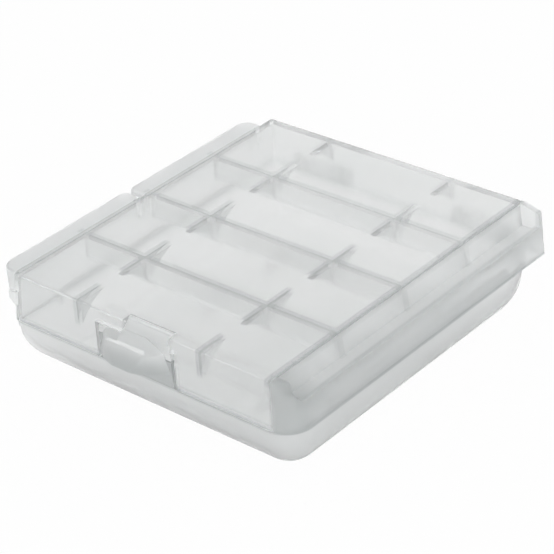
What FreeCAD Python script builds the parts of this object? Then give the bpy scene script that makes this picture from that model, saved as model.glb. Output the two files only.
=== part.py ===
import FreeCAD, Part

import math
import os

# A shallow translucent plastic case for round cells: a base tub, a lid hinged
# along the back, and a sprung finger latch in the middle of the lid's front.
# Millimetres. X runs along the cells, Y from the latch (-) to the hinge (+), Z up.
# The origin is on the flat underside, below the middle of the four cell rows.

vec = FreeCAD.Vector

# Cells that the case is made for.
cell_diameter = 14.5
cell_length = 50.5
cell_rows = 4
row_clearance = 0.2      # each side of a cell, to the divider
side_clearance = 0.1     # outer side of an outer cell, to the lid's wall
end_clearance = 1.45     # each end of a cell, to the end wall
head_room = 1.25         # above and below a cell

# Plastic thickness.
wall = 1.0               # lid's side walls
base_wall = 0.9          # base's side walls
panel = 1.0              # lid's top and base's floor
divider = 1.1            # dividers between rows
cradle_rib = 1.1         # ribs across the rows
weld = 0.3               # how far a rib, web or ear runs into the wall that carries it
past = 1.0               # how far a cutting shape runs past the surface that it cuts
sliver = 0.05            # least reach of a shape out from the wall that it grows from

# Heights.
lid_height = 9.0         # from the parting gap up
parting_gap = 0.1        # dark line between the lid and the base
divider_depth = 5.0      # how far a divider reaches in from the outer face
cradle_clearance = 1.5   # between a cell and its cradle ribs
cradle_spacing = 26.6    # between the two cradle ribs, along X

# Lid's outline. Drafts are in degrees.
front_draft = 2.0        # lean of the front and back walls
end_draft = 6.0          # lean of the end walls
top_round = 0.45         # round on the upper edges
lid_edge_round = 0.5     # round on the upright corners
post_round = 4.2         # upright corner at the front right

# Step along the lid's right end.
ledge_width = 3.8
ledge_drop = 4.2         # depth of the step below the lid's top
ledge_lip = 0.6          # height of the rim along the step's outer edge
ledge_lip_width = 0.9
ledge_post = 1.5         # full-height post in front of the step
ledge_rise_radius = 3.0  # sweep from the step up to that post
cheek_fall = 1.1         # how far the back cheek's outer corner drops

# Tongues along the lid's left end.
tongue_reach = 3.8
tongue_drop = 4.2
tongue_front_setback = 0.5
tongue_back_setback = 3.2
tongue_gap = 0.9
tongue_gap_centre = -1.75
tongue_front_round = 2.6  # upright corners of the tongues: front, back and at the gap
tongue_back_round = 2.2
tongue_gap_round = 1.2
gusset_reach = 1.5       # small web below the front tongue
gusset_drop = 1.1
gusset_slope = 2.0       # height of its slanted lower edge
gusset_thickness = 1.0

# Base tub.
base_draft = 3.0
base_step = 0.15         # tub inside the lid's outer face at the rim
rim_band_height = 1.1
rim_band_step = 0.12     # how far the band stands out from the tub
base_end_step = 0.3      # further inset of the tub's right end
base_round = 8.5         # round along the bottom edges
base_corners = {-1: 4.8, 1: 8.6}   # upright corners at the right end, front and back
base_edge_round = 0.8    # corner edges at the left end
lip_height = 1.2         # locating lips that stand inside the lid's ends
lip_thickness = 0.8
lip_clearance = 0.2
lip_setback = 9.0        # from the front and back walls to a lip's ends

# Latch. A drop is a depth below the lid's top, a reach is out from the wall.
latch_centre = -0.6
latch_width = 15.6
latch_slot = 0.8         # slot each side of the latch
neck_centre = 2.2
neck_width = 9.6
neck_gap = 0.1           # saw-thin gap each side of the neck
neck_thickness = 1.5     # at the bend from the top to the front
neck_setback = 1.6       # flexing root, behind the lid's front face
root_clearance = 0.08
shoulder_drop = 2.9      # top of the latch beside its neck
shoulder_gap = 0.35
tab_top_drop = 1.5
tab_top_half = 3.0
tab_crest_drop = 3.0
tab_crest_reach = 1.7
tab_crest_flat = 4.3     # half of the straight crest
tab_crest_inset = 1.4    # each end of the crest, in from the latch's side
tab_crest_bevel = 0.25   # height of the bevel above and below the crest
tab_foot_drop = 6.4
tab_foot_reach = 3.4
tab_foot_flat = 1.9
tab_foot_inset = 0.1
tab_bulge = 0.6          # how full the tab's rounded sides are
tab_skin = 1.0
tab_shelf = 0.9          # floor of the tab, which snaps under the catch's bead

# Catch on the base's rim, behind the tab.
catch_drop = 4.4         # top of the catch, below the lid's top
catch_gap = 0.3          # above the catch
catch_clearance = 0.15   # between the catch and the tab
catch_play = 0.15        # between the bead and the tab's shelf
bead_height = 0.8
bead_grip = 0.4          # how far the shelf reaches under the bead

# Hinge.
hinge_spread = 36.0      # between the two hinges
hinge_offset = 1.9       # hinge axis behind the lid's back face
knuckle_radius = 1.7
knuckle_length = 7.0     # lid's knuckle
ear_thickness = 2.4      # base's ears
ear_gap = 0.2            # between a knuckle and an ear
pin_radius = 0.9
pin_clearance = 0.06
pin_end_gap = 0.4        # from a stub pin's end to the ear's outer face
web_rise = 2.6           # height of a web or an ear along its wall
diagonal = math.sqrt(0.5)   # sine and cosine of 45 degrees

# Worked out from the above.
case_height = cell_diameter + 2 * (head_room + panel)
row_pitch = cell_diameter + divider + 2 * row_clearance
row_centres = [(i - (cell_rows - 1) / 2) * row_pitch for i in range(cell_rows)]
divider_places = [(i - (cell_rows - 2) / 2) * row_pitch for i in range(cell_rows - 1)]
cradle_places = [-cradle_spacing / 2, cradle_spacing / 2]
front_lean = math.tan(math.radians(front_draft))
end_lean = math.tan(math.radians(end_draft))
base_lean = math.tan(math.radians(base_draft))
cell_z = case_height / 2
half_x = cell_length / 2 + end_clearance + wall
half_y = row_centres[-1] + cell_diameter / 2 + side_clearance + wall - front_lean * cell_z
skirt_x = half_x + ledge_width
parting_z = case_height - lid_height
rim_z = parting_z - parting_gap
ledge_z = case_height - ledge_drop
tongue_z = case_height - tongue_drop
lid_y = half_y + front_lean * lid_height
base_y = lid_y - base_step
hinge_y = lid_y + hinge_offset
hinge_z = rim_z + parting_gap / 2
hinge_places = [-hinge_spread / 2, hinge_spread / 2]
beyond = 4 * (half_x + half_y)   # clear of everything
catch_face = -base_y             # outer face of the catch
tab_back = catch_face - catch_clearance
tab_crest_half = latch_width / 2 - tab_crest_inset
tab_foot_half = latch_width / 2 - tab_foot_inset


def block(x0, x1, y0, y1, z0, z1):
    return Part.makeBox(x1 - x0, y1 - y0, z1 - z0, vec(x0, y0, z0))


def corners(x0, x1, y0, y1, z):
    return [vec(x0, y0, z), vec(x1, y0, z), vec(x1, y1, z), vec(x0, y1, z)]


def frustum(low, low_z, high, high_z):
    """Flat-sided solid between two rectangles (x0, x1, y0, y1)."""
    foot, head = corners(*low, low_z), corners(*high, high_z)
    rings = [foot[::-1], head]
    rings += [[foot[i - 1], foot[i], head[i], head[i - 1]] for i in range(4)]
    faces = [Part.Face(Part.makePolygon(ring + ring[:1])) for ring in rings]
    return Part.Solid(Part.Shell(faces))


def prism_x(points, x0, x1):
    """Solid with a (y, z) outline, between x0 and x1."""
    outline = [vec(x0, y, z) for y, z in points]
    return Part.Face(Part.makePolygon(outline + outline[:1])).extrude(vec(x1 - x0, 0, 0))


def prism_y(points, y0, y1):
    """Solid with an (x, z) outline, between y0 and y1."""
    outline = [vec(x, y0, z) for x, z in points]
    return Part.Face(Part.makePolygon(outline + outline[:1])).extrude(vec(0, y1 - y0, 0))


def rod_x(radius, x0, x1, y, z):
    return Part.makeCylinder(radius, x1 - x0, vec(x0, y, z), vec(1, 0, 0))


def upright_edges(shape, side_x, side_y):
    """The upright edge at one corner of a shape whose footprint is a rectangle."""
    middle = shape.BoundBox.Center
    found = []
    for edge in shape.Edges:
        rise = edge.BoundBox.ZLength
        place = edge.CenterOfMass - middle
        if rise > 0.9 * shape.BoundBox.ZLength and place.x * side_x > 0 and place.y * side_y > 0:
            found.append(edge)
    return found


def level_edges(shape, z):
    """Edges that lie at one height."""
    return [edge for edge in shape.Edges
            if abs(edge.BoundBox.ZMin - z) < 1e-4 and abs(edge.BoundBox.ZMax - z) < 1e-4]


def lid_rectangle(depth, inset=0.0):
    """Footprint of the lid's raised part at a depth below its top, inset by a thickness."""
    x = half_x + end_lean * depth - inset
    y = half_y + front_lean * depth - inset
    return (-x, x, -y, y)


def skirt_rectangle(depth, inset=0.0):
    """Footprint of the lid out to the skirt at its right end."""
    left, _, low, high = lid_rectangle(depth, inset)
    return (left, skirt_x + front_lean * depth - inset, low, high)


def lid_block():
    """Outer form of the lid, before the step at its right end is cut."""
    body = frustum(skirt_rectangle(lid_height), parting_z, skirt_rectangle(0), case_height)
    for side_x, side_y, radius in ((-1, -1, lid_edge_round), (-1, 1, lid_edge_round),
                                   (1, -1, post_round), (1, 1, lid_edge_round)):
        body = body.makeFillet(radius, upright_edges(body, side_x, side_y))
    return body.makeFillet(top_round, level_edges(body, case_height)).cut(ledge_cut())


def skirt_cavity():
    """Hollow below the step, inside the skirt."""
    depth = ledge_drop + panel
    _, low_x, low_y, low_y2 = skirt_rectangle(lid_height, wall)
    _, high_x, high_y, high_y2 = skirt_rectangle(depth, wall)
    body = frustum((0, low_x, low_y, low_y2), parting_z,
                   (0, high_x, high_y, high_y2), case_height - depth)
    return body.makeFillet(post_round - wall, upright_edges(body, 1, -1))


def ledge_cut():
    """Space above the step at the right end, between the front post and the back cheek."""
    top = case_height + past
    outer = skirt_x + 2 * past
    front = -half_y + ledge_post
    back = half_y - wall
    crest_x, crest_z = half_x - top_round, case_height - top_round
    wall_top = vec(half_x + end_lean * top_round, front, crest_z)
    turn = top_round * diagonal
    edges = [
        Part.LineSegment(vec(half_x + end_lean * ledge_drop, front, ledge_z), wall_top),
        Part.Arc(wall_top, vec(crest_x + turn, front, crest_z + turn),
                 vec(crest_x, front, case_height)),
        Part.LineSegment(vec(crest_x, front, case_height), vec(crest_x, front, top)),
        Part.LineSegment(vec(crest_x, front, top), vec(outer, front, top)),
        Part.LineSegment(vec(outer, front, top), vec(outer, front, ledge_z)),
        Part.LineSegment(vec(outer, front, ledge_z),
                         vec(half_x + end_lean * ledge_drop, front, ledge_z)),
    ]
    outline = Part.Face(Part.Wire([edge.toShape() for edge in edges]))
    space = outline.extrude(vec(0, back - front, 0))
    rise = ledge_rise_radius
    corner = block(half_x - past, outer, front - past, front + rise,
                   ledge_z - past, ledge_z + rise)
    corner = corner.cut(rod_x(rise, half_x - 2 * past, outer + past, front + rise,
                              ledge_z + rise))
    lip_x = skirt_x - ledge_lip_width
    rim = block(lip_x, outer, front, back, ledge_z - past, ledge_z + ledge_lip)
    cheek = prism_y([(half_x, case_height), (skirt_x, case_height - cheek_fall),
                     (outer, case_height - cheek_fall), (outer, top), (half_x, top)],
                    back - past, half_y + past)
    return space.cut(corner).cut(rim).fuse(cheek)


def tongue(y0, y1, front_round, back_round):
    """Hollow tongue along the lid's left end, open below."""
    outer_x = -half_x - tongue_reach
    lean = front_lean * tongue_drop
    inner_x = -half_x + wall / 2
    body = frustum((outer_x - lean, inner_x, y0, y1), tongue_z,
                   (outer_x, inner_x, y0, y1), case_height)
    body = body.makeFillet(front_round, upright_edges(body, -1, -1))
    body = body.makeFillet(back_round, upright_edges(body, -1, 1))
    rounded = [edge for edge in level_edges(body, case_height)
               if edge.CenterOfMass.x < -half_x + 0.1]
    body = body.makeFillet(top_round, rounded)
    hollow = block(outer_x + wall, -half_x, y0 + wall, y1 - wall, 0, case_height - panel)
    for side_y, corner in ((-1, front_round), (1, back_round)):
        hollow = hollow.makeFillet(corner - wall, upright_edges(hollow, -1, side_y))
    return body.cut(hollow)


def row_ribs(low, high):
    """Dividers between the rows and cradle ribs across them, between two heights."""
    ribs = [block(-beyond, beyond, y - divider / 2, y + divider / 2, low, high)
            for y in divider_places]
    cradles = [block(x - cradle_rib / 2, x + cradle_rib / 2, -beyond, beyond, low, high)
               for x in cradle_places]
    hollows = [rod_x(cell_diameter / 2 + cradle_clearance, -beyond, beyond, y, cell_z)
               for y in row_centres]
    return ribs + Part.Compound(cradles).cut(Part.Compound(hollows)).Solids


def latch_window():
    """Cut-out in the lid's front for the latch, its slots and its neck."""
    half = latch_width / 2 + latch_slot
    back = -half_y + neck_setback
    window = block(latch_centre - half, latch_centre + half, -beyond, back,
                   parting_z - past, case_height - shoulder_drop + shoulder_gap)
    left = neck_centre - neck_width / 2 - neck_gap
    right = neck_centre + neck_width / 2 + neck_gap
    neck = block(left, right, -beyond, back, parting_z, case_height + past)
    root = rod_x(panel / 2 + root_clearance, left, right, back, case_height - panel / 2)
    return window.fuse(neck).fuse(root)


def lid_knuckle(x):
    """Knuckle with a stub pin at each end, on a web from the lid's back wall."""
    half = knuckle_length / 2
    reach = half + ear_gap + ear_thickness - pin_end_gap
    barrel = rod_x(knuckle_radius, x - half, x + half, hinge_y, hinge_z)
    pin = rod_x(pin_radius, x - reach, x + reach, hinge_y, hinge_z)
    wall_y = lid_y - weld
    web = prism_x([(wall_y, parting_z + weld), (hinge_y, hinge_z),
                   (hinge_y + knuckle_radius, hinge_z),
                   (hinge_y + knuckle_radius * diagonal, hinge_z + knuckle_radius * diagonal),
                   (wall_y, parting_z + web_rise)], x - half, x + half)
    return barrel.fuse(web).fuse(pin)


def gusset():
    """Small web in the plane of the lid's front, below the front tongue."""
    wall_x = -half_x + wall / 2
    tip_x = -half_x - end_lean * tongue_drop - gusset_reach
    low_z = tongue_z - gusset_drop
    return prism_y([(wall_x, tongue_z + weld), (tip_x, tongue_z + weld), (tip_x, low_z),
                    (tip_x + gusset_slope, low_z - gusset_slope),
                    (wall_x, low_z - gusset_slope)],
                   -half_y, -half_y + gusset_thickness)


def make_lid():
    cavity = frustum(lid_rectangle(lid_height, wall), parting_z,
                     lid_rectangle(panel, wall), case_height - panel)
    shell = lid_block().cut(cavity.fuse(skirt_cavity()))
    gap_low = tongue_gap_centre - tongue_gap / 2
    gap_high = tongue_gap_centre + tongue_gap / 2
    pieces = [tongue(-half_y + tongue_front_setback, gap_low, tongue_front_round,
                     tongue_gap_round),
              tongue(gap_high, half_y - tongue_back_setback, tongue_gap_round,
                     tongue_back_round),
              gusset().cut(cavity)]
    keep = frustum(lid_rectangle(lid_height, wall - weld), parting_z,
                   lid_rectangle(0, wall - weld), case_height)
    pieces += [rib.common(keep)
               for rib in row_ribs(case_height - divider_depth, case_height - panel + weld)]
    lid = shell.multiFuse(pieces).cut(latch_window())
    return lid.multiFuse([lid_knuckle(x) for x in hinge_places]).removeSplitter()


def tab_section(drop, reach, flat, half):
    """Outline of the finger tab at one height: a flat front with a round at each side."""
    z = case_height - drop
    face = -lid_y
    back = catch_face + weld
    mid_x = flat + (half - flat) * tab_bulge
    mid_y = face - reach * tab_bulge
    left, right = latch_centre - half, latch_centre + half
    flat_left, flat_right = latch_centre - flat, latch_centre + flat
    front = face - reach
    edges = [
        Part.LineSegment(vec(left, back, z), vec(left, face, z)),
        Part.Arc(vec(left, face, z), vec(latch_centre - mid_x, mid_y, z),
                 vec(flat_left, front, z)),
        Part.LineSegment(vec(flat_left, front, z), vec(flat_right, front, z)),
        Part.Arc(vec(flat_right, front, z), vec(latch_centre + mid_x, mid_y, z),
                 vec(right, face, z)),
        Part.LineSegment(vec(right, face, z), vec(right, back, z)),
        Part.LineSegment(vec(right, back, z), vec(left, back, z)),
    ]
    return Part.Wire([edge.toShape() for edge in edges])


def between(first, last, height):
    """Sizes of the tab at a height away from one section, towards another."""
    share = height / abs(last[0] - first[0])
    return [a + share * (b - a) for a, b in zip(first, last)]


def tab_form(skin):
    """The flared finger tab, shrunk by a skin thickness."""
    top = (tab_top_drop, sliver, tab_top_half / 2, tab_top_half)
    crest = (tab_crest_drop, tab_crest_reach, tab_crest_flat, tab_crest_half)
    foot = (tab_foot_drop, tab_foot_reach, tab_foot_flat, tab_foot_half)
    sections = [top, between(crest, top, tab_crest_bevel),
                between(crest, foot, tab_crest_bevel), foot]
    wires = [tab_section(drop, max(reach - skin, sliver), flat, half - skin)
             for drop, reach, flat, half in sections]
    return Part.makeLoft(wires, True, True)


def base_rectangle(z, inset=0.0):
    """The base's footprint at a height, before its edges are rounded."""
    fall = base_step + base_lean * (rim_z - z) + inset
    y = lid_y - fall
    left = half_x + end_lean * lid_height - fall
    right = skirt_x + front_lean * lid_height - fall - base_end_step
    return (-left, right, -y, y)


def tub(floor_z, inset):
    """Rounded tub form, from a floor height up to the rim."""
    body = frustum(base_rectangle(floor_z, inset), floor_z, base_rectangle(rim_z, inset), rim_z)
    for side_y, radius in base_corners.items():
        body = body.makeFillet(radius - inset, upright_edges(body, 1, side_y))
    body = body.makeFillet(base_round - inset, level_edges(body, floor_z))
    mitres = [edge for edge in body.Edges
              if edge.CenterOfMass.x < 0 and edge.BoundBox.ZLength > weld]
    return body.makeFillet(base_edge_round, mitres)


def ear_pair(x):
    """The base's two ears at one hinge, bored for the stub pins."""
    ears = []
    for side in (-1, 1):
        near = x + side * (knuckle_length / 2 + ear_gap)
        low, high = sorted([near, near + side * ear_thickness])
        disc = rod_x(knuckle_radius, low, high, hinge_y, hinge_z)
        wall_y = base_y - weld
        web = prism_x([(wall_y, rim_z), (hinge_y, rim_z), (hinge_y + knuckle_radius, hinge_z),
                       (hinge_y + knuckle_radius * diagonal,
                        hinge_z - knuckle_radius * diagonal),
                       (wall_y, rim_z - web_rise)], low, high)
        bore = rod_x(pin_radius + pin_clearance, low - past, high + past, hinge_y, hinge_z)
        ears.append(disc.fuse(web).cut(bore))
    return ears


def catch():
    """Upstand on the base's front rim, with the bead that the latch snaps under."""
    left, right = latch_centre - latch_width / 2, latch_centre + latch_width / 2
    top = case_height - catch_drop
    upstand = block(left, right, catch_face, catch_face + base_wall, rim_z - weld, top)
    bead_low = case_height - tab_foot_drop + tab_shelf + catch_play
    reach = catch_face - catch_clearance - bead_grip
    bead = prism_x([(catch_face + weld, bead_low), (reach, bead_low),
                    (catch_face, bead_low + bead_height),
                    (catch_face + weld, bead_low + bead_height)],
                   latch_centre - tab_crest_flat, latch_centre + tab_crest_flat)
    return upstand.fuse(bead)


def lip(side):
    """Locating lip that stands inside the lid at one end, on a slanted foot."""
    lean = end_lean if side < 0 else front_lean
    reach = half_x if side < 0 else skirt_x
    outer = reach + lean * lid_height - wall - lip_clearance
    inner = outer - lip_thickness
    foot = rim_z - lip_thickness
    wall_x = reach + lean * lid_height
    points = [(outer, rim_z + lip_height), (inner, rim_z + lip_height), (inner, foot),
              (wall_x, foot - (wall_x - inner)), (wall_x, rim_z), (outer, rim_z)]
    return prism_y([(side * x, z) for x, z in points],
                   -half_y + lip_setback, half_y - lip_setback)


def make_base():
    outer = tub(0, 0)
    band = tub(0, -rim_band_step).common(
        block(-beyond, beyond, -beyond, beyond, rim_z - rim_band_height, rim_z))
    inner = tub(panel, base_wall)
    keep = tub(panel - weld, base_wall - weld)
    pieces = [rib.common(keep) for rib in row_ribs(panel - weld, divider_depth)]
    room = keep.fuse(block(-beyond, beyond, -beyond, beyond, rim_z, case_height))
    pieces += [lip(side).common(room) for side in (-1, 1)]
    pieces.append(catch())
    for x in hinge_places:
        pieces += ear_pair(x)
    return outer.fuse(band).cut(inner).multiFuse(pieces).removeSplitter()


def make_latch():
    top = case_height
    left, right = latch_centre - latch_width / 2, latch_centre + latch_width / 2
    neck_left, neck_right = neck_centre - neck_width / 2, neck_centre + neck_width / 2
    root_y = -half_y + neck_setback
    face = -half_y - front_lean * tab_top_drop
    back = -half_y + wall
    low = top - catch_drop + catch_gap
    neck = prism_x([(root_y, top), (face, top - tab_top_drop), (catch_face, low),
                    (back, low), (back, top - neck_thickness),
                    (root_y - panel / 2, top - panel), (root_y, top - panel)],
                   neck_left, neck_right)
    root = rod_x(panel / 2, neck_left, neck_right, root_y, top - panel / 2)
    shoulder = prism_x([(face, top - shoulder_drop), (catch_face, low), (back, low),
                        (back, top - shoulder_drop)], left, right)
    room = block(-beyond, beyond, -beyond, beyond, 0, top - shoulder_drop)
    room = room.fuse(block(neck_left, neck_right, -beyond, beyond, 0, top))
    tab = tab_form(0).common(room)
    shelf_top = top - tab_foot_drop + tab_shelf
    hollow = tab_form(tab_skin).common(
        block(-beyond, beyond, -beyond, beyond, shelf_top, low))
    clear = block(-beyond, beyond, tab_back, beyond, 0, low)
    tab = tab.cut(hollow).cut(clear)
    return neck.multiFuse([root, shoulder, tab]).removeSplitter()


if __name__ == "__main__":
    os.makedirs("parts", exist_ok=True)
    for name, make in {"base": make_base, "lid": make_lid, "latch": make_latch}.items():
        shape = make()
        print(name, shape.isValid(), len(shape.Solids), round(shape.Volume, 2), shape.BoundBox)
        shape.exportStep("parts/" + name + ".step")
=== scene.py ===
import logging
from abc import ABC, abstractmethod
from collections.abc import Iterable
from dataclasses import dataclass, field
from enum import Enum
from functools import reduce

import bpy
from mathutils import Matrix, Vector


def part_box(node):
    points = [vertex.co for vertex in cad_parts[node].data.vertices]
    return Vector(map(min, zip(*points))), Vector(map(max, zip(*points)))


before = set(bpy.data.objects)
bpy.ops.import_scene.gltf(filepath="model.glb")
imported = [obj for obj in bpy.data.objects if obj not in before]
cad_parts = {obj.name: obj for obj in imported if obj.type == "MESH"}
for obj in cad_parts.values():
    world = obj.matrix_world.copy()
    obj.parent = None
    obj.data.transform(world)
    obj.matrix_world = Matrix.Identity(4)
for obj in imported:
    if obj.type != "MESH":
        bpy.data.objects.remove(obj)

LOG = logging.getLogger("battery_case")
MM = 0.001   # sizes below are in millimetres unless they say metres

Colour = tuple[float, float, float]
Link = bpy.types.NodeSocket
WHITE = (1.0, 1.0, 1.0)


class Axis(Enum):
    """One direction of the case: along the cells, from latch to hinge, or up."""

    ALONG = 0
    ACROSS = 1
    UP = 2


class Value:
    """A number in a shader, on which Python's operators add Math nodes.

    A mask is a Value from 0 to 1: & takes the lesser of two, | the greater.
    """

    def __init__(self, tree: "Shader", socket: Link) -> None:
        """Wraps one output socket of a shader tree."""
        self.tree = tree
        self.socket = socket

    def _math(self, operation: str, *terms: "Value | float") -> "Value":
        """Adds a Math node.

        Args:
            operation: the Math node's operation.
            terms: its inputs.

        Returns:
            The node's result.
        """
        node = self.tree.node("ShaderNodeMath", {"operation": operation}, dict(enumerate(terms)))
        return Value(self.tree, node.outputs[0])

    def __add__(self, other: "Value | float") -> "Value":
        """self + other."""
        return self._math("ADD", self, other)

    def __radd__(self, other: float) -> "Value":
        """other + self."""
        return self._math("ADD", other, self)

    def __sub__(self, other: "Value | float") -> "Value":
        """self - other."""
        return self._math("SUBTRACT", self, other)

    def __rsub__(self, other: float) -> "Value":
        """other - self."""
        return self._math("SUBTRACT", other, self)

    def __mul__(self, other: "Value | float") -> "Value":
        """self * other."""
        return self._math("MULTIPLY", self, other)

    def __rmul__(self, other: float) -> "Value":
        """other * self."""
        return self._math("MULTIPLY", other, self)

    def __abs__(self) -> "Value":
        """Size of self without its sign."""
        return self._math("ABSOLUTE", self)

    def __and__(self, other: "Value") -> "Value":
        """The lesser of two masks."""
        return self._math("MINIMUM", self, other)

    def __or__(self, other: "Value") -> "Value":
        """The greater of two masks."""
        return self._math("MAXIMUM", self, other)


class Shader:
    """A material's or world's node tree, built from nothing."""

    mix_share, mix_first, mix_second, mix_result = 0, 6, 7, 2   # a Mix node's colour sockets

    def __init__(self, owner: bpy.types.ID) -> None:
        """Takes over a node tree and empties it.

        Args:
            owner: the material or world that the tree belongs to.
        """
        owner.use_nodes = True
        self.tree = owner.node_tree
        self.tree.nodes.clear()

    def node(self, kind: str, settings: dict | None = None,
             inputs: dict | None = None) -> bpy.types.Node:
        """Adds a node.

        Args:
            kind: the node's type.
            settings: properties that are set before its sockets are used.
            inputs: a value, a link or a Value for each named or numbered input.

        Returns:
            The new node.
        """
        made = self.tree.nodes.new(kind)
        for name, setting in (settings or {}).items():
            setattr(made, name, setting)
        for name, given in (inputs or {}).items():
            socket = made.inputs[name]
            if isinstance(given, Value):
                given = given.socket
            if isinstance(given, bpy.types.NodeSocket):
                self.tree.links.new(given, socket)
            else:
                socket.default_value = given
        return made

    def noise(self, place: Link, scale: float, detail: float) -> Value:
        """Soft noise from 0 to 1 at a place in space.

        Args:
            place: the coordinates.
            scale: spots per metre.
            detail: octaves.

        Returns:
            The noise.
        """
        made = self.node("ShaderNodeTexNoise", {"noise_dimensions": "3D"},
                         {"Vector": place, "Scale": scale, "Detail": detail})
        return Value(self, made.outputs[0])

    def range(self, value: Value, low: float, high: float, to_low: float,
              to_high: float) -> Value:
        """Maps a value from one range to another, clamped.

        Args:
            value: what is mapped.
            low: start of the first range.
            high: end of the first range.
            to_low: start of the second range.
            to_high: end of the second range.

        Returns:
            The mapped value.
        """
        made = self.node("ShaderNodeMapRange", {"clamp": True},
                         {"Value": value, "From Min": low, "From Max": high,
                          "To Min": to_low, "To Max": to_high})
        return Value(self, made.outputs[0])

    def mix(self, share: Value, first: Link | Colour, second: Link | Colour) -> Link:
        """Mixes two colours.

        Args:
            share: how much of the second.
            first: the first colour.
            second: the second colour.

        Returns:
            The mixed colour.
        """
        colours = [c if isinstance(c, bpy.types.NodeSocket) else (*c, 1.0)
                   for c in (first, second)]
        made = self.node("ShaderNodeMix", {"data_type": "RGBA"},
                         {self.mix_share: share, self.mix_first: colours[0],
                          self.mix_second: colours[1]})
        return made.outputs[self.mix_result]


class Spot:
    """The place that is being shaded, with masks that are cut in millimetres."""

    band_edge = 0.15     # how far each kind of mask takes to fade
    soft_edge = 0.4
    height_edge = 0.2

    def __init__(self, shader: Shader) -> None:
        """Splits the piece's own coordinates, which are in metres.

        Args:
            shader: the node tree that the masks are added to.
        """
        self.shader = shader
        self.place = shader.node("ShaderNodeTexCoord").outputs["Object"]
        split = shader.node("ShaderNodeSeparateXYZ", {}, {0: self.place})
        self.axes = [Value(shader, output) for output in split.outputs]

    def band(self, axis: Axis, centre: float, half: float, edge: float = band_edge) -> Value:
        """A mask that is 1 in a slab across one axis.

        Args:
            axis: the axis that crosses the slab.
            centre: the slab's middle, in mm.
            half: half its thickness, in mm.
            edge: how far it fades beyond that, in mm.

        Returns:
            The mask.
        """
        away = abs(self.axes[axis.value] - centre * MM)
        return self.shader.range(away, half * MM, (half + edge) * MM, 1.0, 0.0)

    def beyond(self, axis: Axis, start: float, edge: float = soft_edge) -> Value:
        """A mask that is 1 past a distance to either side of the case's middle.

        Args:
            axis: the axis along which the distance is taken.
            start: the distance at which it begins, in mm.
            edge: how far it takes to reach 1, in mm.

        Returns:
            The mask.
        """
        return self.shader.range(abs(self.axes[axis.value]), start * MM, (start + edge) * MM,
                                 0.0, 1.0)

    def past(self, axis: Axis, start: float, edge: float = soft_edge) -> Value:
        """A mask that is 1 past a place on one axis.

        Args:
            axis: the axis along which the place is taken.
            start: the place at which it begins, in mm.
            edge: how far it takes to reach 1, in mm, backwards where it is negative.

        Returns:
            The mask.
        """
        return self.shader.range(self.axes[axis.value], start * MM, (start + edge) * MM,
                                 0.0, 1.0)

    def above(self, height: float, edge: float = height_edge) -> Value:
        """A mask that is 1 above a height in mm, reached over an edge in mm."""
        return self.past(Axis.UP, height, edge)

    def any(self, masks: Iterable[Value]) -> Value:
        """The greatest of several masks."""
        return reduce(Value.__or__, masks)


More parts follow.
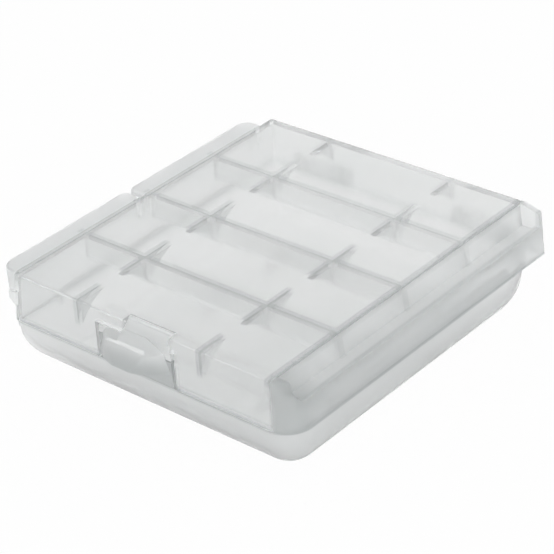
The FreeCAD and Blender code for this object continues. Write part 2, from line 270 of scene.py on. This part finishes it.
@dataclass(frozen=True)
class MilkyPlastic:
    """As-moulded polypropylene that lets light through and clouds it.

    Its tint drifts in slow clouds and its gloss in flow marks. It is deeper in colour
    where a rib or a wall stands behind the skin and where painted shade falls, paler at
    the hinge as painted light, and satin where the mould was textured.
    """

    name: str
    haze: float
    clear_roughness: float
    satin_roughness: float
    body_density: float
    tint: Colour = (0.95, 0.955, 0.955)
    cloud_tint: Colour = (0.93, 0.94, 0.94)
    # deeper tint for thick plastic, also used as painted shade
    thickness_and_shade_tint: Colour = (0.50, 0.53, 0.53)
    body_colour: Colour = (0.20, 0.22, 0.22)
    # paler tint at the hinge: painted light that lifts its shade
    hinge_light_tint: Colour = (0.995, 0.995, 0.995)
    shadow_tint: Colour = (0.95, 0.95, 0.95)
    cloud_scale: float = 70.0
    cloud_detail: float = 3.0
    cloud_span: tuple[float, float] = (0.38, 0.62)
    flow_scale: float = 260.0
    flow_detail: float = 2.0
    flow_share: float = 0.2
    ior: float = 1.18
    coat: float = 0.6
    coat_roughness: float = 0.12
    coat_ior: float = 1.45

    def colour(self, spot: Spot, thickness_and_shade: Value, clear: Value) -> Link:
        """Mixes the plastic's colour.

        Args:
            spot: the shaded place.
            thickness_and_shade: mask of the places darkened for thick plastic or as painted
                shade.
            clear: mask of the hinge, where a paler tint is painted light.

        Returns:
            The colour.
        """
        cloud = spot.shader.noise(spot.place, self.cloud_scale, self.cloud_detail)
        clouded = spot.shader.range(cloud, *self.cloud_span, 0.0, 1.0)
        milky = spot.shader.mix(clouded, self.tint, self.cloud_tint)
        hinge_lit = spot.shader.mix(clear, milky, self.hinge_light_tint)
        return spot.shader.mix(thickness_and_shade, hinge_lit, self.thickness_and_shade_tint)

    def roughness(self, spot: Spot, satin: Value) -> Value:
        """Works out how rough the skin is.

        Args:
            spot: the shaded place.
            satin: mask of the satin places.

        Returns:
            The roughness.
        """
        flow = spot.shader.noise(spot.place, self.flow_scale, self.flow_detail)
        plain = spot.shader.range(satin, 0.0, 1.0, self.clear_roughness, self.satin_roughness)
        return plain * (1.0 - self.flow_share / 2 + flow * self.flow_share)

    def material(self, piece: "Moulding") -> bpy.types.Material:
        """Builds the finish for one piece.

        Args:
            piece: tells where it is thick, clear, satin and glossy.

        Returns:
            The node material.
        """
        made = bpy.data.materials.new(self.name)
        shader = Shader(made)
        spot = Spot(shader)
        plastic = shader.node("ShaderNodeBsdfPrincipled", {}, {
            "Base Color": self.colour(spot, piece.thickness_and_shade(spot), piece.clear(spot)),
            "Roughness": self.roughness(spot, piece.satin(spot)),
            "IOR": self.ior, "Transmission Weight": 1.0 - self.haze,
            "Coat Weight": piece.gloss(spot) * self.coat,
            "Coat Roughness": self.coat_roughness, "Coat IOR": self.coat_ior})
        shade = shader.node("ShaderNodeBsdfTransparent", {},
                            {"Color": (*self.shadow_tint, 1.0)})
        is_shadow = shader.node("ShaderNodeLightPath").outputs["Is Shadow Ray"]
        surface = shader.node("ShaderNodeMixShader", {}, {
            0: is_shadow, 1: plastic.outputs[0], 2: shade.outputs[0]})
        volume = shader.node("ShaderNodeVolumeAbsorption", {}, {
            "Color": (*self.body_colour, 1.0), "Density": self.body_density})
        shader.node("ShaderNodeOutputMaterial", {}, {
            "Surface": surface.outputs[0], "Volume": volume.outputs[0]})
        return made


LID_PLASTIC = MilkyPlastic("lid_polypropylene", haze=0.25, clear_roughness=0.18,
                           satin_roughness=0.50, body_density=40.0)
BASE_PLASTIC = MilkyPlastic("base_polypropylene", haze=0.20, clear_roughness=0.25,
                            satin_roughness=0.45, body_density=35.0)
LATCH_PLASTIC = MilkyPlastic("latch_polypropylene", haze=0.30, clear_roughness=0.34,
                             satin_roughness=0.45, body_density=50.0, coat_roughness=0.10)


@dataclass
class Moulding(ABC):
    """One moulded piece of the case: a CAD node with its finish.

    Heights are above the underside of the case and drops are below the lid's top. A
    share says how much a place is darkened, for thick plastic or as painted shade, from 0 to 1.
    """

    node: str
    finish: MilkyPlastic
    top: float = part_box("lid")[1][2] / MM
    hinge_from: float = 32.6        # just behind the lid's back wall

    @abstractmethod
    def thickness_and_shade(self, spot: Spot) -> Value:
        """Mask of the places darkened for thick plastic or as painted shade."""

    @abstractmethod
    def satin(self, spot: Spot) -> Value:
        """Mask of the satin places."""

    def clear(self, spot: Spot) -> Value:
        """Mask of the hinge, where a paler tint is painted light."""
        return spot.past(Axis.ACROSS, self.hinge_from)

    def gloss(self, spot: Spot) -> Value | float:
        """Mask of the glossy places: the whole piece."""
        return 1.0

    def dress(self, piece: bpy.types.Object) -> None:
        """Gives the piece its finish.

        Args:
            piece: the piece's object.
        """
        piece.data.materials.clear()
        piece.data.materials.append(self.finish.material(self))

    def build(self) -> bpy.types.Object:
        """Takes the CAD node, whose form is final, and dresses it.

        Returns:
            The dressed object.
        """
        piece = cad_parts[self.node]
        self.dress(piece)
        LOG.info("%s dressed in %s", self.node, self.finish.name)
        return piece


@dataclass
class BaseTub(Moulding):
    """The base: a clear floor, satin walls and a rim darkened with painted shade."""

    floor_half_along: float = 24.0
    floor_half_across: float = 28.5
    floor_edge: float = 2.0
    rim_height: float = 9.4
    # painted shade along the rim, under the lid's lower edge
    rim_shade_share: float = 0.5

    def thickness_and_shade(self, spot: Spot) -> Value:
        """The rim, darkened with painted shade under the lid's edge."""
        return spot.above(self.rim_height) * self.rim_shade_share

    def satin(self, spot: Spot) -> Value:
        """The walls, beyond the flat floor."""
        return (spot.beyond(Axis.ALONG, self.floor_half_along, self.floor_edge)
                | spot.beyond(Axis.ACROSS, self.floor_half_across, self.floor_edge))


@dataclass
class HingedLid(Moulding):
    """The lid: a clear window with ribs behind it, a step and tongues in satin."""

    height: float = 9.0
    rows: int = 4
    row_pitch: float = 16.0
    rib_depth: float = 5.0
    rib_half: float = 0.55
    cradle_spacing: float = 26.6
    cradle_half_opening: float = 2.1
    cradle_edge: float = 0.8
    cradle_share: float = 0.55
    fade_from: float = -12.0        # from here back the cradle ribs look fainter
    fade_edge: float = 36.0
    fade_share: float = 0.3
    divider_share: float = 0.42
    skin: float = 0.7               # thickness that shows what stands behind it
    wall_middle: float = 27.2       # end wall's middle, at its top
    wall_half: float = 0.5
    crown_drop: float = 1.3         # how far down the end wall's top looks thick
    crown_share: float = 0.6
    riser_end: float = 28.3         # outer face of the end walls
    riser_share: float = 0.5
    end: float = 27.6               # from here out the mould was textured
    skirt_face: float = 30.6
    # the skirt is darkened partly for the plastic behind it and partly with painted shade
    skirt_shade_share: float = 0.12
    skirt_rise: float = 0.8         # from the lid's lower edge up
    skirt_edge: float = 3.6
    skirt_top_shade_share: float = 0.32
    near_from: float = -8.0
    near_edge: float = -20.0
    near_shade_share: float = 0.15
    foot_rise: float = 0.4
    # painted shadow along the lid's lower edge
    foot_shade_share: float = 0.6
    front_face: float = -31.4
    front_from: float = 12.0
    # painted shade on the front wall, deeper away from the step
    front_edge: float = -25.0
    front_shade_share: float = 0.12
    post_side: float = 27.1
    post_edge: float = 0.5
    post_front: float = -23.0
    post_depth: float = -6.0
    # the post is darkened for its thickness and with painted shade
    post_share: float = 0.52
    tongue_shade_share: float = 0.06

    def dividers(self, spot: Spot) -> Value:
        """Finds the dividers' seats in the top and in the end walls.

        Args:
            spot: the shaded place.

        Returns:
            The mask.
        """
        places = [(row - (self.rows - 2) / 2) * self.row_pitch for row in range(self.rows - 1)]
        lines = spot.any(spot.band(Axis.ACROSS, place, self.rib_half) for place in places)
        seats = (spot.above(self.top - self.skin)
                 | spot.beyond(Axis.ALONG, self.wall_middle) * self.riser_share)
        return lines & seats & (1 - spot.beyond(Axis.ALONG, self.riser_end))

    def cradles(self, spot: Spot) -> Value:
        """Finds the cradle ribs, which are open above the middle of each cell.

        Args:
            spot: the shaded place.

        Returns:
            The mask.
        """
        half = self.cradle_spacing / 2
        ribs = spot.any(spot.band(Axis.ALONG, place, self.rib_half) for place in (-half, half))
        openings = spot.any(
            spot.band(Axis.ACROSS, (row - (self.rows - 1) / 2) * self.row_pitch,
                      self.cradle_half_opening, self.cradle_edge) for row in range(self.rows))
        return ribs & (1 - openings) & spot.above(self.top - self.rib_depth, self.cradle_edge)

    def crowns(self, spot: Spot) -> Value:
        """Finds the tops of the end walls.

        Args:
            spot: the shaded place.

        Returns:
            The mask.
        """
        walls = spot.any(spot.band(Axis.ALONG, place, self.wall_half)
                         for place in (self.wall_middle, -self.wall_middle))
        return walls & spot.above(self.top - self.crown_drop)

    def skirt(self, spot: Spot) -> Value:
        """Finds the skirt, darkened partly for the plastic behind it and partly with painted
        shade that deepens upwards and towards the latch, with a painted shadow along the lid's
        lower edge.

        Args:
            spot: the shaded place.

        Returns:
            The mask, with its shares.
        """
        low = self.top - self.height
        share = (self.skirt_shade_share
                 + spot.above(low + self.skirt_rise, self.skirt_edge) * self.skirt_top_shade_share
                 + spot.past(Axis.ACROSS, self.near_from, self.near_edge) * self.near_shade_share)
        # painted shadow line along the lid's lower edge, at the parting
        foot = (1 - spot.above(low + self.foot_rise)) * self.foot_shade_share
        return spot.past(Axis.ALONG, self.skirt_face) * share | foot

    def post(self, spot: Spot) -> Value:
        """The full-height post at the step's end, darkened for its thickness and with painted
        shade.
        """
        return (spot.past(Axis.ALONG, self.post_side, self.post_edge)
                & spot.past(Axis.ACROSS, self.post_front, self.post_depth))

    def front(self, spot: Spot) -> Value:
        """Finds the front wall, painted with shade that deepens away from the step.

        Args:
            spot: the shaded place.

        Returns:
            The mask, with its share.
        """
        share = spot.past(Axis.ALONG, self.front_from, self.front_edge) * self.front_shade_share
        return spot.past(Axis.ACROSS, self.front_face, -spot.soft_edge) * share

    def thickness_and_shade(self, spot: Spot) -> Value:
        """Joins the places darkened for ribs and walls behind the skin, and the painted shade.

        Args:
            spot: the shaded place.

        Returns:
            The mask, with its shares.
        """
        fade = spot.past(Axis.ACROSS, self.fade_from, self.fade_edge) * self.fade_share
        return (self.dividers(spot) * self.divider_share
                | self.cradles(spot) * (self.cradle_share - fade)
                | self.front(spot)
                | self.crowns(spot) * self.crown_share
                | self.skirt(spot)
                | self.post(spot) * self.post_share
                # painted shade on the left tongue
                | spot.past(Axis.ALONG, -self.end, -spot.soft_edge) * self.tongue_shade_share)

    def satin(self, spot: Spot) -> Value:
        """The step and the tongues."""
        return spot.beyond(Axis.ALONG, self.end)


@dataclass
class FingerLatch(Moulding):
    """The latch: a glossy tab, worn satin at its foot, on a dull neck."""

    foot_drop: float = 6.0
    foot_edge: float = 2.4
    # the tab's lower part is darkened for its thickness and with painted shade
    foot_shade_share: float = 0.5
    worn_edge: float = 3.0
    neck_drop: float = 2.5
    neck_edge: float = 0.5
    # painted shadow on the neck
    neck_shade_share: float = 0.05

    def neck(self, spot: Spot) -> Value:
        """The bend that carries the tab."""
        return spot.above(self.top - self.neck_drop, self.neck_edge)

    def gloss(self, spot: Spot) -> Value:
        """Gloss on the tab and none on the neck."""
        return 1 - self.neck(spot)

    def thickness_and_shade(self, spot: Spot) -> Value:
        """The tab's lower part, darkened for its thickness and with painted shade, and faintly
        the neck, with painted shadow.
        """
        foot = 1 - spot.above(self.top - self.foot_drop, self.foot_edge)
        return foot * self.foot_shade_share | self.neck(spot) * self.neck_shade_share

    def satin(self, spot: Spot) -> Value:
        """The tab's lower part, where fingers rub it."""
        return 1 - spot.above(self.top - self.foot_drop, self.worn_edge)


@dataclass(frozen=True)
class Lamp:
    """One soft square lamp that points at the case. Its place and side are in metres."""

    name: str
    place: tuple[float, float, float]
    side: float
    watts: float

    def build(self) -> None:
        """Hangs the lamp."""
        data = bpy.data.lights.new(self.name, "AREA")
        data.shape = "SQUARE"
        data.size = self.side
        data.energy = self.watts
        lamp = bpy.data.objects.new(self.name, data)
        bpy.context.scene.collection.objects.link(lamp)
        lamp.location = self.place
        lamp.rotation_euler = (-Vector(self.place)).to_track_quat("-Z", "Y").to_euler()
        LOG.info("%s hung", self.name)


@dataclass
class Studio:
    """Floor, lights, world and camera, in metres.

    Seen through the case, the floor has a painted glow that rises towards the hinge and the
    tongues.
    """

    camera_at: Vector
    look: Vector
    level: Vector
    focal: float
    sensor: float = 36.0
    clip: float = 0.01
    floor_half: float = 3.0
    floor_drop: float = 0.05 * MM
    floor_colour: Colour = (0.93, 0.93, 0.93)
    seen_glow: float = 0.96
    glow_span: tuple[float, float] = (-0.02, 0.05)   # where the glow starts and ends rising
    through_glow: tuple[float, float] = (0.2, 1.0)
    sky: float = 0.65
    lamps: list[Lamp] = field(default_factory=lambda: [
        Lamp("key_lamp", (-0.36, -0.41, 0.26), side=0.16, watts=0.5),
        Lamp("back_lamp", (-0.3, 0.60, 0.65), side=0.8, watts=1.3),
        Lamp("fill_lamp", (0.50, -0.30, 0.16), side=0.4, watts=1.2)])

    def floor_material(self) -> bpy.types.Material:
        """Builds white paper with a painted glow that rises towards the far side.

        Returns:
            The node material.
        """
        material = bpy.data.materials.new("floor_paper")
        shader = Shader(material)
        spot = Spot(shader)
        paper = shader.node("ShaderNodeBsdfDiffuse", {}, {"Color": (*self.floor_colour, 1.0)})
        glow = shader.node("ShaderNodeEmission", {}, {"Color": (*WHITE, 1.0), "Strength": 1.0})
        path = shader.node("ShaderNodeLightPath")
        seen = Value(shader, path.outputs["Is Camera Ray"])
        through = Value(shader, path.outputs["Is Transmission Ray"])
        mirrored = Value(shader, path.outputs["Is Glossy Ray"])
        away = spot.axes[Axis.ACROSS.value] - spot.axes[Axis.ALONG.value]
        # painted glow on the floor seen through the case, darker towards the front
        painted_glow = shader.range(away, *self.glow_span, *self.through_glow)
        share = seen * self.seen_glow + (through | mirrored) * painted_glow
        mixed = shader.node("ShaderNodeMixShader", {}, {
            0: share, 1: paper.outputs[0], 2: glow.outputs[0]})
        shader.node("ShaderNodeOutputMaterial", {}, {"Surface": mixed.outputs[0]})
        return material

    def build_floor(self) -> None:
        """Lays a large pale floor just below the case."""
        half = self.floor_half
        mesh = bpy.data.meshes.new("floor")
        mesh.from_pydata([(-half, -half, 0), (half, -half, 0), (half, half, 0), (-half, half, 0)],
                         [], [(0, 1, 2, 3)])
        mesh.materials.append(self.floor_material())
        floor = bpy.data.objects.new("floor", mesh)
        bpy.context.scene.collection.objects.link(floor)
        floor.location.z = -self.floor_drop
        LOG.info("floor laid")

    def build_world(self) -> None:
        """Surrounds the scene with even pale light."""
        world = bpy.data.worlds.new("studio_air")
        bpy.context.scene.world = world
        shader = Shader(world)
        path = shader.node("ShaderNodeLightPath")
        seen = Value(shader, path.outputs["Is Camera Ray"])
        light = shader.node("ShaderNodeBackground", {}, {
            "Color": (*WHITE, 1.0), "Strength": self.sky + seen * (1.0 - self.sky)})
        shader.node("ShaderNodeOutputWorld", {}, {"Surface": light.outputs[0]})

    def build_camera(self) -> None:
        """Sets the camera by its place, its line of sight and its level line."""
        data = bpy.data.cameras.new("camera")
        data.lens = self.focal
        data.sensor_width = self.sensor
        data.clip_start = self.clip
        camera = bpy.data.objects.new("camera", data)
        bpy.context.scene.collection.objects.link(camera)
        back = -self.look.normalized()
        right = (self.level - self.level.dot(back) * back).normalized()
        up = back.cross(right)
        turn = Matrix((right, up, back)).transposed().to_4x4()
        camera.matrix_world = Matrix.Translation(self.camera_at) @ turn
        bpy.context.scene.camera = camera

    def build(self) -> None:
        """Builds the whole studio."""
        self.build_floor()
        self.build_world()
        for lamp in self.lamps:
            lamp.build()
        self.build_camera()
        LOG.info("studio built")


def main() -> None:
    """Builds the case and its studio in order."""
    logging.basicConfig(level=logging.INFO)
    bpy.context.scene.view_settings.view_transform = "Standard"
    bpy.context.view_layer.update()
    for moulding in (BaseTub("base", BASE_PLASTIC), HingedLid("lid", LID_PLASTIC),
                     FingerLatch("latch", LATCH_PLASTIC)):
        moulding.build()
    Studio(camera_at=Vector((0.21292, -0.22115, 0.19751)),
           look=Vector((-0.59198, 0.61659, -0.51901)),
           level=Vector((0.75247, 0.65352, -0.08188)),
           focal=140.86).build()


if __name__ == "__main__":
    main()
